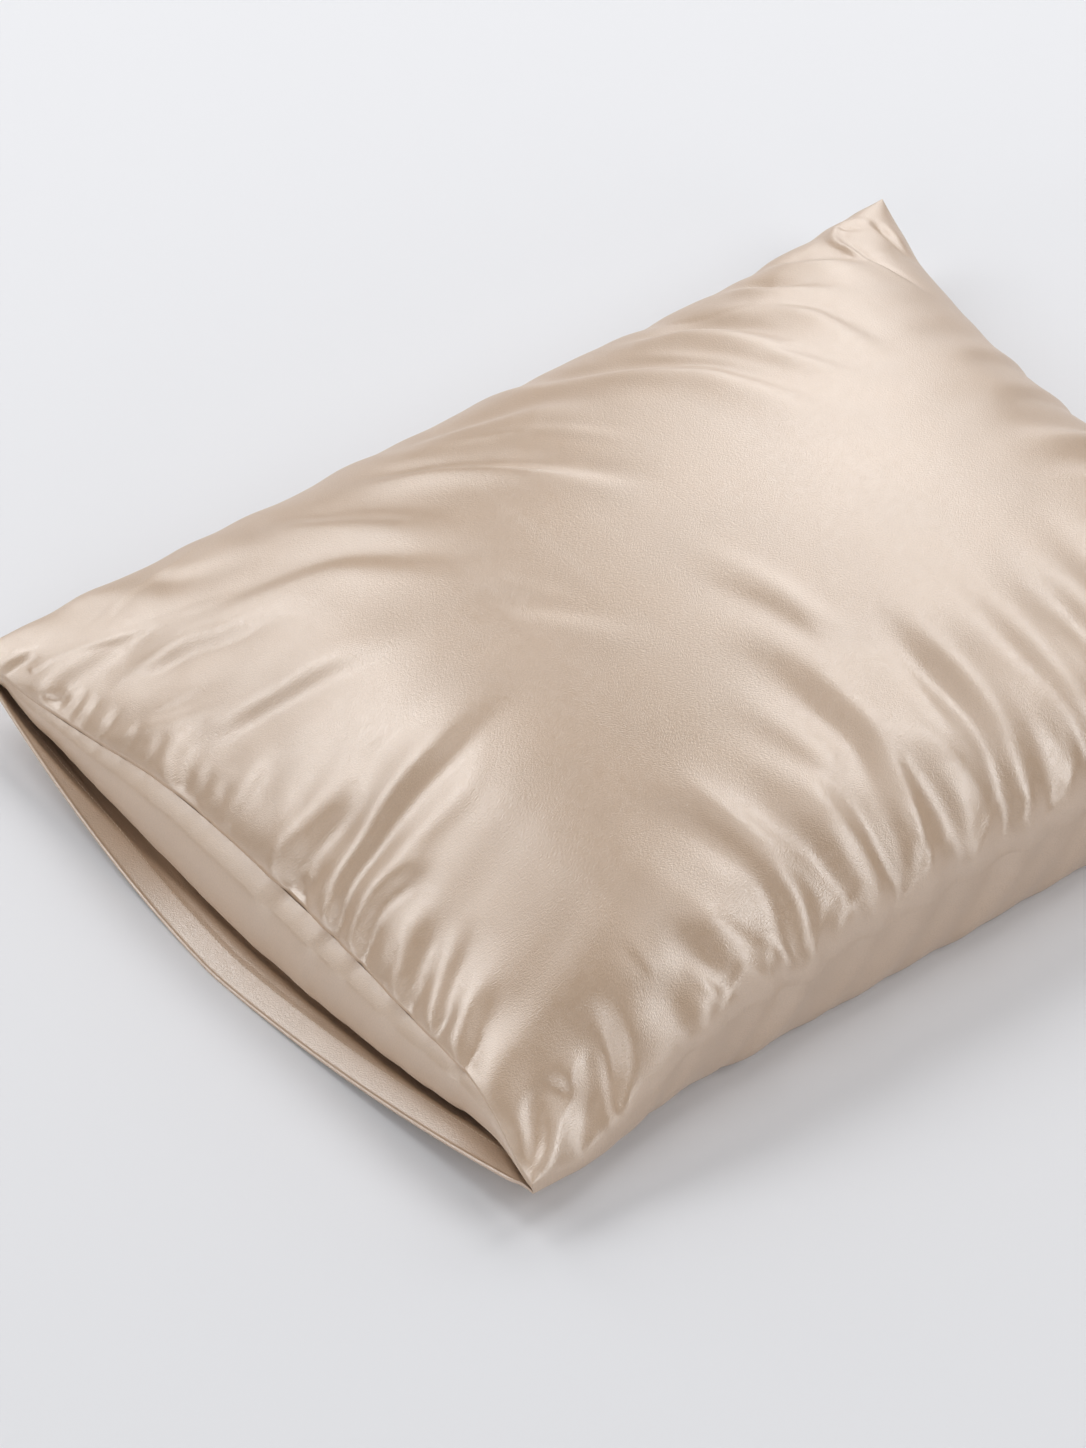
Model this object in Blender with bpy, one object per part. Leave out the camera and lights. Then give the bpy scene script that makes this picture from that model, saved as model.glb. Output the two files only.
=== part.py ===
"""Envelope pillowcase of satin, filled by its pillow and lying on its back.

Metres, +Z up. X runs along the case, with the open mouth at -X and the sewn-up end at +X.
Y runs across it, and the case lies on the plane z = 0.

The cloth is worked out on one grid. u runs from the mouth (-1) to the closed end (+1), and v from
the near long side (-1) to the far one (+1). Every piece uses the same grid lines, so the layers
that lie on each other keep an even gap.
"""

import math

import bmesh
import bpy
import numpy as np

# Size of the filled case between its corners.
LENGTH = 0.640
WIDTH = 0.485

# The seam's four sides. At each place along a side: how far it is drawn in from the straight line
# between its corners, and its height above the surface that the case lies on.
SIDE_COLUMNS = ("at", "drawn_in", "height")
MOUTH_SIDE = (
    (-1.00, 0.000, 0.031),
    (-0.95, 0.002, 0.033),
    (-0.84, 0.006, 0.047),
    (-0.50, 0.012, 0.053),
    (0.00, 0.014, 0.058),
    (0.40, 0.013, 0.054),
    (0.62, 0.010, 0.045),
    (0.86, 0.004, 0.042),
    (1.00, 0.000, 0.045),
)
CLOSED_SIDE = (
    (-1.00, 0.000, 0.045),
    (-0.90, 0.010, 0.043),
    (-0.75, 0.024, 0.042),
    (-0.45, 0.043, 0.042),
    (0.00, 0.054, 0.043),
    (0.50, 0.038, 0.042),
    (0.75, 0.021, 0.042),
    (0.90, 0.008, 0.045),
    (1.00, 0.000, 0.050),
)
NEAR_SIDE = (
    (-1.00, 0.000, 0.031),
    (-0.90, 0.001, 0.026),
    (-0.80, 0.003, 0.034),
    (-0.70, 0.006, 0.050),
    (-0.40, 0.009, 0.059),
    (0.20, 0.010, 0.062),
    (0.75, 0.008, 0.056),
    (1.00, 0.000, 0.045),
)
FAR_SIDE = (
    (-1.00, 0.000, 0.045),
    (-0.80, 0.006, 0.047),
    (-0.45, 0.020, 0.054),
    (0.10, 0.028, 0.056),
    (0.60, 0.021, 0.052),
    (0.88, 0.004, 0.048),
    (1.00, 0.000, 0.050),
)

# The filling's crown and belly.
CROWN = 0.142
CROWN_ROUNDNESS = 2.1
UNDER_FULLNESS = 2.4
UNDER_POWER = 1.6
MOUTH_BULGE = 0.024
MOUTH_BULGE_LENGTH = 0.35
MOUTH_BULGE_ROUNDNESS = 0.35

# The main folds of the top. Each runs through three places given as (u, v). A trough has a
# negative depth and a ridge a positive one.
FOLD_COLUMNS = ("start", "middle", "end", "width", "depth")
NEAR_FOLDS = (
    ((-0.60, -0.82), (-0.57, -0.94), (-0.58, -1.00), 0.011, -0.0045),
    ((-0.50, -0.50), (-0.43, -0.80), (-0.46, -0.98), 0.016, -0.0060),
    ((-0.40, -0.55), (-0.34, -0.80), (-0.37, -0.96), 0.014, 0.0030),
    ((-0.34, -0.76), (-0.30, -0.88), (-0.28, -0.98), 0.011, -0.0050),
    ((-0.26, -0.50), (-0.23, -0.78), (-0.25, -0.96), 0.016, 0.0030),
    ((-0.12, -0.42), (-0.14, -0.72), (-0.20, -0.95), 0.015, -0.0065),
    ((-0.13, -0.74), (-0.14, -0.90), (-0.17, -1.00), 0.009, 0.0035),
    ((-0.10, -0.70), (-0.06, -0.88), (-0.12, -1.00), 0.011, -0.0060),
    ((0.02, -0.58), (0.00, -0.82), (-0.05, -1.00), 0.013, 0.0030),
    ((0.10, -0.52), (0.08, -0.78), (-0.01, -1.00), 0.015, -0.0065),
    ((0.38, -0.55), (0.34, -0.82), (0.28, -1.00), 0.018, -0.0055),
    ((0.62, -0.60), (0.58, -0.84), (0.53, -1.00), 0.016, -0.0050),
)
FAR_FOLDS = (
    ((-0.37, 0.82), (-0.26, 0.64), (-0.10, 0.42), 0.016, 0.0035),
    ((-0.52, 0.80), (-0.38, 0.62), (-0.20, 0.42), 0.016, -0.0030),
    ((-0.46, 0.20), (-0.39, 0.06), (-0.30, -0.06), 0.026, -0.0030),
    ((0.03, 0.93), (0.16, 0.93), (0.32, 0.90), 0.012, -0.0035),
    ((0.56, 0.70), (0.42, 0.78), (0.28, 0.90), 0.014, -0.0045),
    ((0.82, 0.72), (0.64, 0.83), (0.50, 0.94), 0.013, 0.0035),
    ((0.66, 0.72), (0.53, 0.68), (0.40, 0.58), 0.016, -0.0035),
)
MOUTH_FOLDS = (
    ((-0.99, 0.76), (-0.93, 0.77), (-0.87, 0.72), 0.009, -0.0035),
    ((-0.96, 0.86), (-0.90, 0.81), (-0.82, 0.75), 0.008, -0.0030),
    ((-0.91, 0.60), (-0.84, 0.58), (-0.74, 0.52), 0.012, -0.0045),
    ((-0.95, 0.38), (-0.87, 0.33), (-0.76, 0.23), 0.015, -0.0045),
    ((-0.97, -0.02), (-0.90, -0.07), (-0.82, -0.10), 0.012, -0.0035),
    ((-0.93, -0.17), (-0.85, -0.16), (-0.74, -0.18), 0.014, -0.0050),
    ((-0.99, -0.34), (-0.95, -0.31), (-0.88, -0.30), 0.011, -0.0040),
    ((-0.99, -0.58), (-0.95, -0.55), (-0.90, -0.52), 0.010, -0.0035),
    ((-0.99, -0.72), (-0.95, -0.68), (-0.90, -0.64), 0.010, -0.0035),
)
CORNER_FOLDS = (
    ((-0.78, -0.82), (-0.79, -0.92), (-0.83, -0.99), 0.010, -0.0065),
    ((-0.84, -0.84), (-0.83, -0.92), (-0.86, -0.98), 0.007, 0.0030),
    ((-0.74, -0.88), (-0.76, -0.95), (-0.81, -1.00), 0.008, 0.0030),
    ((-0.93, -0.83), (-0.90, -0.87), (-0.88, -0.93), 0.008, -0.0035),
    ((0.84, 0.99), (0.82, 0.85), (0.89, 0.64), 0.010, -0.0065),
    ((0.92, 0.93), (0.93, 0.86), (0.95, 0.78), 0.008, -0.0040),
    ((0.78, 0.98), (0.75, 0.86), (0.79, 0.68), 0.010, 0.0030),
    ((0.80, -0.80), (0.82, -0.92), (0.86, -0.99), 0.010, -0.0055),
    ((0.93, -0.66), (0.92, -0.80), (0.95, -0.92), 0.010, -0.0045),
)
FOLD_STEPS = 41
FOLD_START = 0.4
FOLD_RIM = 0.42

# Broad unevenness of the filling: waves along the case, across it, their shift and height.
LUMPS = ((2.1, 1.3, 0.4, 0.0022), (3.7, 2.9, 1.9, 0.0014), (5.3, 4.1, 3.1, 0.0008))

# Cloth and the way its layers lie.
CLOTH = 0.002
GAP = 0.0003
LAYER = CLOTH + GAP
SEAM_BAND = 0.0026
SEAM_DROP = 0.003
RIM_DROP = 0.0004
CORNER_STARTS = 0.9

# The back panel runs on past the pillow as a free lip with a turned hem.
LIP_REACH = 0.020
LIP_POWER = 1.3
LIP_RISE_POWER = 2.2
LIP_STARTS = -0.78
LIP_CLEARANCE = 0.0035
LIP_CLEARS = (-0.73, -0.83)
HEM = 0.021
HEM_EXTRA = 0.0008
HEM_STEP = 0.002

# The flap wraps the pillow's end and reaches this far under it, as a share of the half length.
FLAP_ENDS = -0.45
FLAP_WALL = 0.07
FLAP_FADES = 0.04

# Grid.
COLUMNS = 58
ROWS = 38
LENGTH_CROWDING = 0.86
WIDTH_CROWDING = 0.93
MOUTH_END = 0
CLOSED_END = -1
FLAT_ANGLE = math.radians(0.4)
LEVEL = 0.999

SATIN = (0.80, 0.68, 0.58, 1.0)
SATIN_SHADE = (0.70, 0.58, 0.48, 1.0)


def smooth_step(t):
    """Rises from 0 to 1 with level ends."""
    t = np.clip(t, 0.0, 1.0)
    return t * t * (3.0 - 2.0 * t)


def along_side(side, column, at):
    """Reads a column of a side's table at any place, on a smooth curve through its rows."""
    rows = np.array(side)
    places = rows[:, 0]
    values = rows[:, SIDE_COLUMNS.index(column)]
    slopes = np.gradient(values, places)
    index = np.clip(np.searchsorted(places, at) - 1, 0, len(places) - 2)
    width = places[index + 1] - places[index]
    t = (at - places[index]) / width
    rise = (1 + 2 * t) * (1 - t) ** 2 * values[index] + t * t * (3 - 2 * t) * values[index + 1]
    lean = t * (1 - t) ** 2 * slopes[index] - t * t * (1 - t) * slopes[index + 1]
    return rise + lean * width


def crowded(count, crowding):
    """Grid lines from -1 to 1, closer together towards both ends."""
    turn = crowding * math.pi / 2
    return np.sin(np.linspace(-turn, turn, count + 1)) / math.sin(turn)


def mouth_x(v):
    return -LENGTH / 2 + along_side(MOUTH_SIDE, "drawn_in", v)


def closed_x(v):
    return LENGTH / 2 - along_side(CLOSED_SIDE, "drawn_in", v)


def plan(u, v):
    """Place in plan: straight lines between the drawn-in sides."""
    near_y = -WIDTH / 2 + along_side(NEAR_SIDE, "drawn_in", u)
    far_y = WIDTH / 2 - along_side(FAR_SIDE, "drawn_in", u)
    x = mouth_x(v) + (closed_x(v) - mouth_x(v)) * (u + 1) / 2
    y = near_y + (far_y - near_y) * (v + 1) / 2
    return x, y


def seam_height(u, v):
    """Height of the seam, carried evenly across the case from its four sides."""
    closed = (1 + u) / 2
    far = (1 + v) / 2
    mouth_side = along_side(MOUTH_SIDE, "height", v)
    closed_side = along_side(CLOSED_SIDE, "height", v)
    near_side = along_side(NEAR_SIDE, "height", u)
    far_side = along_side(FAR_SIDE, "height", u)
    near_corners = (1 - closed) * NEAR_SIDE[0][2] + closed * NEAR_SIDE[-1][2]
    far_corners = (1 - closed) * FAR_SIDE[0][2] + closed * FAR_SIDE[-1][2]
    ends = (1 - closed) * mouth_side + closed * closed_side
    sides = (1 - far) * (near_side - near_corners) + far * (far_side - far_corners)
    return ends + sides


def fullness(u, v):
    """0 at the seams and 1 in the middle, in a round arch both ways."""
    along = np.sqrt(np.clip(1 - np.abs(u) ** CROWN_ROUNDNESS, 0, 1))
    across = np.sqrt(np.clip(1 - np.abs(v) ** CROWN_ROUNDNESS, 0, 1))
    return along * across


def cornerness(u, v):
    """1 at the four corners, where the layers lie on each other instead of inside each other."""
    return smooth_step((np.abs(u * v) - CORNER_STARTS) / (1 - CORNER_STARTS))


def top_surface(u, v):
    """The crowned top of the case, before its folds."""
    x, y = plan(u, v)
    seam = seam_height(u, v)
    return np.stack([x, y, seam + (CROWN - seam) * fullness(u, v)], -1)


def fold_relief(points, start, middle, end, width, depth):
    """Height of one fold at each point: full along its line, fading out to its sides."""
    t = np.linspace(0.0, 1.0, FOLD_STEPS)[:, None]
    first = np.array(start)
    last = np.array(end)
    pull = 2 * np.array(middle) - (first + last) / 2
    line = (1 - t) ** 2 * first + 2 * t * (1 - t) * pull + t * t * last
    spine = top_surface(line[:, 0], np.clip(line[:, 1], -1, 1))
    away = np.linalg.norm(points[..., None, :] - spine, axis=-1)
    near = away.argmin(axis=-1) / (FOLD_STEPS - 1)
    swell = FOLD_START + (1 - FOLD_START) * smooth_step(2 * near)
    return depth * swell * np.exp(-((away.min(axis=-1) / width) ** 2))


def lumps(u, v):
    height = np.zeros_like(u)
    for along, across, shift, rise in LUMPS:
        height += rise * np.sin(along * u + shift) * np.cos(across * v - shift)
    return height


def folded_top(u, v):
    """The top of the case with its folds pressed in and raised."""
    points = top_surface(u, v)
    relief = lumps(u, v)
    for fold in NEAR_FOLDS + FAR_FOLDS + MOUTH_FOLDS + CORNER_FOLDS:
        relief += fold_relief(points, **dict(zip(FOLD_COLUMNS, fold)))
    relief *= smooth_step(fullness(u, v) / FOLD_RIM)
    return points + inward(points, u, v) * relief[..., None]


def under_lift(u, v):
    """1 at the seam and 0 where the case lies on the surface."""
    return (1 - np.minimum(UNDER_FULLNESS * fullness(u, v), 1)) ** UNDER_POWER


def under_height(u, v):
    rim = seam_height(u, v) - SEAM_DROP - LAYER * cornerness(u, v)
    return rim * under_lift(u, v)


def under_surface(u, v):
    """The underside: up from the surface to just below the seam, bulging out at the mouth."""
    x, y = plan(u, v)
    fades = 1 - smooth_step((u + 1) / MOUTH_BULGE_LENGTH)
    bulge = MOUTH_BULGE * (1 - v * v) * fades * (1 - under_lift(u, v)) ** MOUTH_BULGE_ROUNDNESS
    return np.stack([x - bulge, y, under_height(u, v)], -1)


def inward(points, u, v):
    """Unit normals of a grid of points, up and into the case, and straight up at the corners."""
    along = np.gradient(points, axis=0)
    across = np.gradient(points, axis=1)
    normal = np.cross(along, across)
    normal /= np.linalg.norm(normal, axis=-1, keepdims=True)
    corner = cornerness(u, v)[..., None]
    normal = normal * (1 - corner) + np.array([0.0, 0.0, 1.0]) * corner
    return normal / np.linalg.norm(normal, axis=-1, keepdims=True)


def flap_depth(u):
    """How far the flap lies inside the underside: flush at the mouth seam, then one layer in."""
    return LAYER * smooth_step((u + 1) / FLAP_WALL)


def belly_depth(u):
    """How far the filling lies inside the underside: one layer, or two over the flap."""
    over_flap = 1 - smooth_step((u - FLAP_ENDS) / FLAP_FADES)
    return LAYER + flap_depth(u) * over_flap


def lip_x(v):
    return -LENGTH / 2 - LIP_REACH * (1 - np.abs(v) ** LIP_POWER)


def lip_height(v):
    """Underside of the lip's free edge: on the surface in the middle, rising to both corners."""
    corner = np.where(v < 0, MOUTH_SIDE[0][2], MOUTH_SIDE[-1][2])
    tip = corner - SEAM_DROP - LAYER - LIP_CLEARANCE
    return tip * np.abs(v) ** LIP_RISE_POWER


def back_surface(u, v):
    """The back panel's outer face: under the pillow, up its sides, and out as the lip."""
    x, y = plan(u, v)
    lip = smooth_step((LIP_STARTS - u) / (1 + LIP_STARTS))
    x = x + lip * (lip_x(v) - mouth_x(v))
    held = under_height(np.maximum(u, LIP_STARTS), v)
    z = held + lip * (lip_height(v) - held)
    clears = smooth_step((LIP_CLEARS[0] - u) / (LIP_CLEARS[0] - LIP_CLEARS[1]))
    roof = under_height(u, v) - LIP_CLEARANCE * clears
    z = np.where(lip > 0, np.maximum(np.minimum(z, roof), 0.0), z)
    return np.stack([x, y, z], -1)


def clear_scene():
    for obj in list(bpy.data.objects):
        bpy.data.objects.remove(obj, do_unlink=True)


def satin(name, colour, roughness):
    material = bpy.data.materials.new(name)
    material.use_nodes = True
    shader = material.node_tree.nodes["Principled BSDF"]
    shader.inputs["Base Color"].default_value = colour
    shader.inputs["Roughness"].default_value = roughness
    shader.inputs["Metallic"].default_value = 0.0
    return material


def add_grid(bm, points):
    """Faces through an array of points, one vertex to a point."""
    columns = points.shape[0] - 1
    rows = points.shape[1] - 1
    made = bmesh.ops.create_grid(bm, x_segments=columns, y_segments=rows, size=1.0)["verts"]
    for vert in made:
        column = round((vert.co.x + 1) / 2 * columns)
        row = round((vert.co.y + 1) / 2 * rows)
        vert.co = points[column, row]
    return made


def edges_of_rim(verts):
    inside = set(verts)
    return list({edge for vert in verts for edge in vert.link_edges
                 if edge.is_boundary and all(end in inside for end in edge.verts)})


def solid_between(name, upper, lower, band=0.0):
    """One closed body between two grids of points, which are joined round their rims."""
    bm = bmesh.new()
    top = add_grid(bm, upper)
    bottom = add_grid(bm, lower)
    bmesh.ops.reverse_faces(bm, faces=list({face for vert in bottom for face in vert.link_faces}))
    top_rim = edges_of_rim(top)
    if band:
        grown = bmesh.ops.extrude_edge_only(bm, edges=top_rim)["geom"]
        ring = [item for item in grown if isinstance(item, bmesh.types.BMVert)]
        bmesh.ops.translate(bm, verts=ring, vec=(0.0, 0.0, -band))
        top_rim = edges_of_rim(ring)
    bmesh.ops.bridge_loops(bm, edges=top_rim + edges_of_rim(bottom))
    bmesh.ops.recalc_face_normals(bm, faces=bm.faces)
    if bm.calc_volume(signed=True) < 0:
        bmesh.ops.reverse_faces(bm, faces=bm.faces)
    level = {vert for vert in bm.verts if all(abs(face.normal.z) > LEVEL for face in vert.link_faces)}
    between = [edge for edge in bm.edges if all(end in level for end in edge.verts)]
    bmesh.ops.dissolve_limit(bm, angle_limit=FLAT_ANGLE, verts=list(level), edges=between)
    mesh = bpy.data.meshes.new(name)
    bm.to_mesh(mesh)
    bm.free()
    obj = bpy.data.objects.new(name, mesh)
    bpy.context.scene.collection.objects.link(obj)
    return obj


def below_seam(points, sewn_end):
    """Drops a sheet's two sides and its sewn end a little, to stay clear of the seam above."""
    points = points.copy()
    points[:, 0, 2] -= RIM_DROP
    points[:, -1, 2] -= RIM_DROP
    points[sewn_end, 1:-1, 2] -= RIM_DROP
    return points


def grid_uv():
    return np.meshgrid(crowded(COLUMNS, LENGTH_CROWDING), crowded(ROWS, WIDTH_CROWDING), indexing="ij")


def make_front_panel():
    u, v = grid_uv()
    top = folded_top(u, v)
    under = under_surface(u, v)
    belly = under + inward(under, u, v) * belly_depth(u)[..., None]
    obj = solid_between("front_panel", top, belly, band=SEAM_BAND)
    obj.data.materials.append(satin("front_satin", SATIN, 0.38))
    obj.data.shade_smooth()
    return obj


def make_envelope_flap():
    u, v = grid_uv()
    last = int(np.searchsorted(u[:, 0], FLAP_ENDS))
    under = under_surface(u, v)
    normal = inward(under, u, v)
    outer = (under + normal * flap_depth(u)[..., None])[:last]
    inner = outer + normal[:last] * CLOTH
    obj = solid_between("envelope_flap", below_seam(inner, MOUTH_END), below_seam(outer, MOUTH_END))
    obj.data.materials.append(satin("flap_satin", SATIN_SHADE, 0.5))
    obj.data.shade_smooth()
    return obj


def make_back_panel():
    u, v = grid_uv()
    outer = back_surface(u, v)
    inner = outer + inward(outer, u, v) * CLOTH
    hem = smooth_step((outer[0, :, 0] + HEM - outer[..., 0]) / HEM_STEP)
    inner[..., 2] += HEM_EXTRA * hem
    obj = solid_between("back_panel", below_seam(inner, CLOSED_END), below_seam(outer, CLOSED_END))
    obj.data.materials.append(satin("back_satin", SATIN_SHADE, 0.5))
    obj.data.shade_smooth()
    return obj


def centre_on_surface(objects):
    """Brings the whole case over the origin, lying on z = 0."""
    points = np.array([vert.co for obj in objects for vert in obj.data.vertices])
    low = points.min(axis=0)
    high = points.max(axis=0)
    shift = ((low[0] + high[0]) / 2, (low[1] + high[1]) / 2, low[2])
    for obj in objects:
        for vert in obj.data.vertices:
            vert.co = [value - moved for value, moved in zip(vert.co, shift)]


def main():
    clear_scene()
    pieces = [make_front_panel(), make_back_panel(), make_envelope_flap()]
    centre_on_surface(pieces)


main()
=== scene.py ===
"""Looks of the satin envelope pillowcase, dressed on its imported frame.

Metres, +Z up. X runs along the case, with the open mouth at -X and the sewn-up end at +X.
Y runs across it, and the case lies on the plane z = 0.

The cloth is worked out on one grid, as in the frame. u runs from the mouth (-1) to the closed end
(+1), and v from the near long side (-1) to the far one (+1). The frame gives the length, width and
place, and the tables below repeat the shape of its seams. The fine folds are added here.
"""

import math

import bmesh
import bpy
import numpy as np
from mathutils import Matrix, Vector


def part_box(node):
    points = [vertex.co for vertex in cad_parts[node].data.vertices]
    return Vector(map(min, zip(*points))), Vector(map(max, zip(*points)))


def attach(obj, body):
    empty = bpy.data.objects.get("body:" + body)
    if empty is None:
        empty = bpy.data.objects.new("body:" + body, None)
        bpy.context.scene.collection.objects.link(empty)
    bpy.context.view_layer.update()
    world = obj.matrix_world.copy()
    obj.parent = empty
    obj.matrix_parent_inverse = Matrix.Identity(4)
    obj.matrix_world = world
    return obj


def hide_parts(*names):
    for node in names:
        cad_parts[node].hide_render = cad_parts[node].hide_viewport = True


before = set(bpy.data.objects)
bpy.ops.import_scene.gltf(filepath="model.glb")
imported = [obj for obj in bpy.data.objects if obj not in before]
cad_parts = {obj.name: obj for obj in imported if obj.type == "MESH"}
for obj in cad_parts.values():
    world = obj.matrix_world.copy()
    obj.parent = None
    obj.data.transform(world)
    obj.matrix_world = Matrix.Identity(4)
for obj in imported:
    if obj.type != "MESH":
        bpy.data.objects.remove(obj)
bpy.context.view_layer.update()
FILLED_LOW, FILLED_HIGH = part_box("front_panel")
LIP_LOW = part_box("back_panel")[0]

# Size of the filled case between its corners, and its middle, from the frame.
LENGTH = FILLED_HIGH.x - FILLED_LOW.x
WIDTH = FILLED_HIGH.y - FILLED_LOW.y
MIDDLE_X = (FILLED_HIGH.x + FILLED_LOW.x) / 2

# The seam's four sides: at each place, how far it is drawn in and how high it is.
SIDE_COLUMNS = ("at", "drawn_in", "height")
MOUTH_SIDE = (
    (-1.00, 0.000, 0.031),
    (-0.95, 0.002, 0.033),
    (-0.84, 0.006, 0.047),
    (-0.50, 0.012, 0.053),
    (0.00, 0.014, 0.058),
    (0.40, 0.013, 0.054),
    (0.62, 0.010, 0.045),
    (0.86, 0.004, 0.042),
    (1.00, 0.000, 0.045),
)
CLOSED_SIDE = (
    (-1.00, 0.000, 0.045),
    (-0.90, 0.010, 0.043),
    (-0.75, 0.024, 0.042),
    (-0.45, 0.043, 0.042),
    (0.00, 0.054, 0.043),
    (0.50, 0.038, 0.042),
    (0.75, 0.021, 0.042),
    (0.90, 0.008, 0.045),
    (1.00, 0.000, 0.050),
)
NEAR_SIDE = (
    (-1.00, 0.000, 0.031),
    (-0.90, 0.001, 0.026),
    (-0.80, 0.003, 0.034),
    (-0.70, 0.006, 0.050),
    (-0.40, 0.009, 0.059),
    (0.20, 0.010, 0.062),
    (0.75, 0.008, 0.056),
    (1.00, 0.000, 0.045),
)
FAR_SIDE = (
    (-1.00, 0.000, 0.045),
    (-0.80, 0.006, 0.047),
    (-0.45, 0.020, 0.054),
    (0.10, 0.028, 0.056),
    (0.60, 0.021, 0.052),
    (0.88, 0.004, 0.048),
    (1.00, 0.000, 0.050),
)

# The filling's crown and belly, as in the frame. The top leaves the mouth's seam at a slope.
CROWN = 0.142
CROWN_ROUNDNESS = 2.1
UNDER_FULLNESS = 2.4
UNDER_POWER = 1.6
MOUTH_BULGE = 0.024
MOUTH_BULGE_LENGTH = 0.35
MOUTH_BULGE_ROUNDNESS = 0.35
MOUTH_SLOPE = 0.20
MOUTH_SLOPE_ENDS = 0.6
MOUTH_SLOPE_POWER = 4

# The lip: its reach past the mouth, the shape of its edge, where it leaves the underside, and how
# clear it stays of the underside above it, between its sewn corners.
LIP_REACH = FILLED_LOW.x - LIP_LOW.x
LIP_POWER = 1.3
LIP_RISE_POWER = 2.2
LIP_STARTS = -0.78
LIP_CLEARS = (-0.73, -0.83)
LIP_CLEARANCE = 0.0035
LIP_SEWN_FROM = 0.93
TIP_CLEARANCE = 0.0020

# Inside its free edge the lip leans on the wall: how far up, between which places in from the edge,
# how it fades to both corners, and how far it stays off the wall.
LIP_LEAN = 0.0045
LIP_LEANS = (0.05, 0.13)
LIP_LEAN_ENDS = ((-0.93, -0.70), (0.05, 0.50))
LIP_OFF_WALL = 0.0030

# Where the tucked-in flap ends, over what part of the wall it steps one layer in, and how the
# filling closes over its end. At the corners all layers lie on each other.
FLAP_ENDS = -0.45
FLAP_WALL = 0.07
FLAP_FADES = 0.04
CORNER_STARTS = 0.9
LAYER = 0.0023

# Cloth as it is seen: thin satin, doubled at the hem, with a bead along the hem's fold.
CLOTH = 0.0007
HEM = 0.0165
HEM_CLOTH = 0.0013
HEM_STEP = 0.0012
HEM_BEAD = 0.0005
HEM_BEAD_WIDTH = 0.0008
SEAM_DROP = 0.0022
RIM_DROP = 0.0002

# The top's seam edge turns down over the cloth below it, and thins out to nothing. Each step gives
# how far in it goes, and how far up. The cloth below is tucked in behind it.
EDGE_TURNS = ((0.00005, -0.0018), (0.00015, -0.0010), (0.00006, 0.0), (0.0, 0.0009))
TUCK = 0.00045
TUCK_FADES = 0.012

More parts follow.
